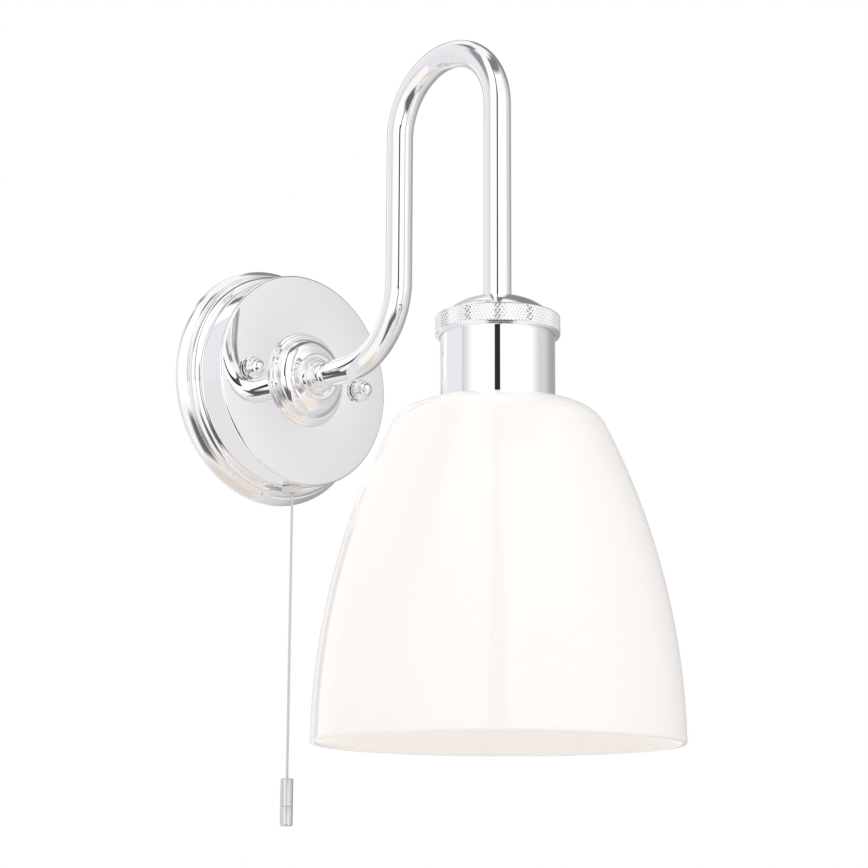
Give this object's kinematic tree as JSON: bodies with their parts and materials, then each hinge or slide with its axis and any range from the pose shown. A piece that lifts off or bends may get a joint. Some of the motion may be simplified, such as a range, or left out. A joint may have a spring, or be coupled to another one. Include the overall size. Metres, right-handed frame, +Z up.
{
  "type": "pull cord wall light",
  "caption": "Swan-neck bathroom wall light: round chrome wall drum with a built-in pull cord switch, hanging cord and weight, and an opal bell shade.",
  "frame": {"origin": "on the wall, at the middle of the back plate's back face, midway between the two wall-screw slots", "axes": "+Z up, +X to the right along the wall as seen from the room, +Y into the wall, so the light stands out towards -Y"},
  "size_m": [0.1554, 0.2318, 0.3457],
  "materials": {
    "chrome": "polished chrome plate",
    "zinc_steel": "bright zinc plated",
    "brass": "plain turned and pressed",
    "steel": "bright spring and screw steel",
    "lamp_nickel": "nickel coloured screw shell",
    "rubber": "matt moulded",
    "seal_foam": "closed cell foam",
    "silicone": "translucent silicone",
    "white_plastic": "moulded heat resistant plastic",
    "white_nylon": "moulded nylon",
    "grey_nylon": "moulded nylon",
    "cord_white": "braided polyester",
    "cable_white": "heat resistant sheath",
    "wire_brown": "insulation",
    "wire_grey": "insulation",
    "opal_glass": "gloss opal white, dense",
    "lamp_opal": "opal diffuser"
  },
  "bodies": {
    "fitting": {"base_ring": "chrome", "drum_cover": "chrome", "boss_base": "chrome", "boss_dome": "chrome", "arm_collar": "chrome", "swan_neck_arm": "chrome", "socket_cap": "chrome", "shade_sleeve": "chrome", "back_plate": "zinc_steel", "cover_studs": "zinc_steel", "lock_washer": "zinc_steel", "nipple_nut": "zinc_steel", "gallery_plate": "zinc_steel", "cap_nut": "zinc_steel", "block_fixing_screw": "zinc_steel", "earth_screw": "brass", "threaded_nipple": "brass", "holder_nipple": "brass", "socket_shell": "brass", "centre_contact": "brass", "switch_terminals": "brass", "fixed_contact": "brass", "terminal_screws": "steel", "switch_terminal_screws": "steel", "ratchet_axle": "steel", "return_spring": "steel", "cable_grommet": "rubber", "finial_seals": "rubber", "wall_gasket": "seal_foam", "shade_washer": "silicone", "terminal_block": "white_plastic", "lampholder_cap": "white_plastic", "lampholder_body": "white_plastic", "switch_body": "white_nylon", "switch_lid": "white_nylon", "outlet_nut": "white_nylon", "arm_cable": "cable_white", "wire_live": "wire_brown", "wire_switched": "wire_grey", "glass_shade": "opal_glass"},
    "switch_slider": {"pull_slider": "grey_nylon", "pawl": "steel", "cord_tail": "cord_white", "cord_knot": "cord_white"},
    "ratchet": {"ratchet_wheel": "grey_nylon"},
    "contact": {"contact_leaf": "brass"},
    "cord": {"pull_cord": "cord_white", "weight_upper": "chrome", "cord_end_knot": "cord_white"},
    "weight_cap": {"weight_lower": "chrome"},
    "finial_left": {"finial_nut_left": "chrome"},
    "finial_right": {"finial_nut_right": "chrome"},
    "knurled_ring": {"knurled_ring": "chrome"},
    "clamp_ring": {"shade_ring": "white_plastic"},
    "lamp": {"lamp_cap": "lamp_nickel", "lamp_housing": "white_plastic", "lamp_globe": "lamp_opal"}
  },
  "joints": [
    {"name": "cord_pull", "type": "slide", "parent": "fitting", "child": "switch_slider", "axis": [0, 0, -1], "range_m": [0, 0.008], "stiffness_N_per_m": 900, "springref_m": -0.004, "deforming": ["return_spring"]},
    {"name": "ratchet_turn", "type": "hinge", "parent": "fitting", "child": "ratchet", "pos_m": [0, -0.0185, -0.0195], "axis": [0, 1, 0], "range_deg": [0, 45]},
    {"name": "contact_close", "type": "hinge", "parent": "fitting", "child": "contact", "pos_m": [0.00875, -0.0215, -0.0348], "axis": [0, 1, 0], "range_deg": [0, 2.4]},
    {"name": "cord_swing", "type": "hinge", "parent": "switch_slider", "child": "cord", "pos_m": [0, -0.0182, -0.0528], "axis": [0, 1, 0], "range_deg": [-50, 50]},
    {"name": "weight_cap_turn", "type": "hinge", "parent": "cord", "child": "weight_cap", "pos_m": [0, -0.0182, -0.2], "axis": [0, 0, 1], "continuous": true},
    {"name": "finial_left_turn", "type": "hinge", "parent": "fitting", "child": "finial_left", "pos_m": [-0.0327, -0.03, 0], "axis": [0, -1, 0], "continuous": true},
    {"name": "finial_right_turn", "type": "hinge", "parent": "fitting", "child": "finial_right", "pos_m": [0.0327, -0.03, 0], "axis": [0, -1, 0], "continuous": true},
    {"name": "knurled_ring_turn", "type": "hinge", "parent": "fitting", "child": "knurled_ring", "pos_m": [0, -0.15415, 0.0015], "axis": [0, 0, 1], "continuous": true},
    {"name": "clamp_ring_turn", "type": "hinge", "parent": "fitting", "child": "clamp_ring", "pos_m": [0, -0.15415, -0.0162], "axis": [0, 0, 1], "continuous": true},
    {"name": "lamp_turn", "type": "hinge", "parent": "fitting", "child": "lamp", "pos_m": [0, -0.15415, -0.025], "axis": [0, 0, 1], "continuous": true}
  ],
  "couplings": [
    {"joint": "ratchet_turn", "follows": "cord_pull", "rad_per_m": 98.1},
    {"joint": "contact_close", "follows": "cord_pull", "rad_per_m": 5}
  ]
}
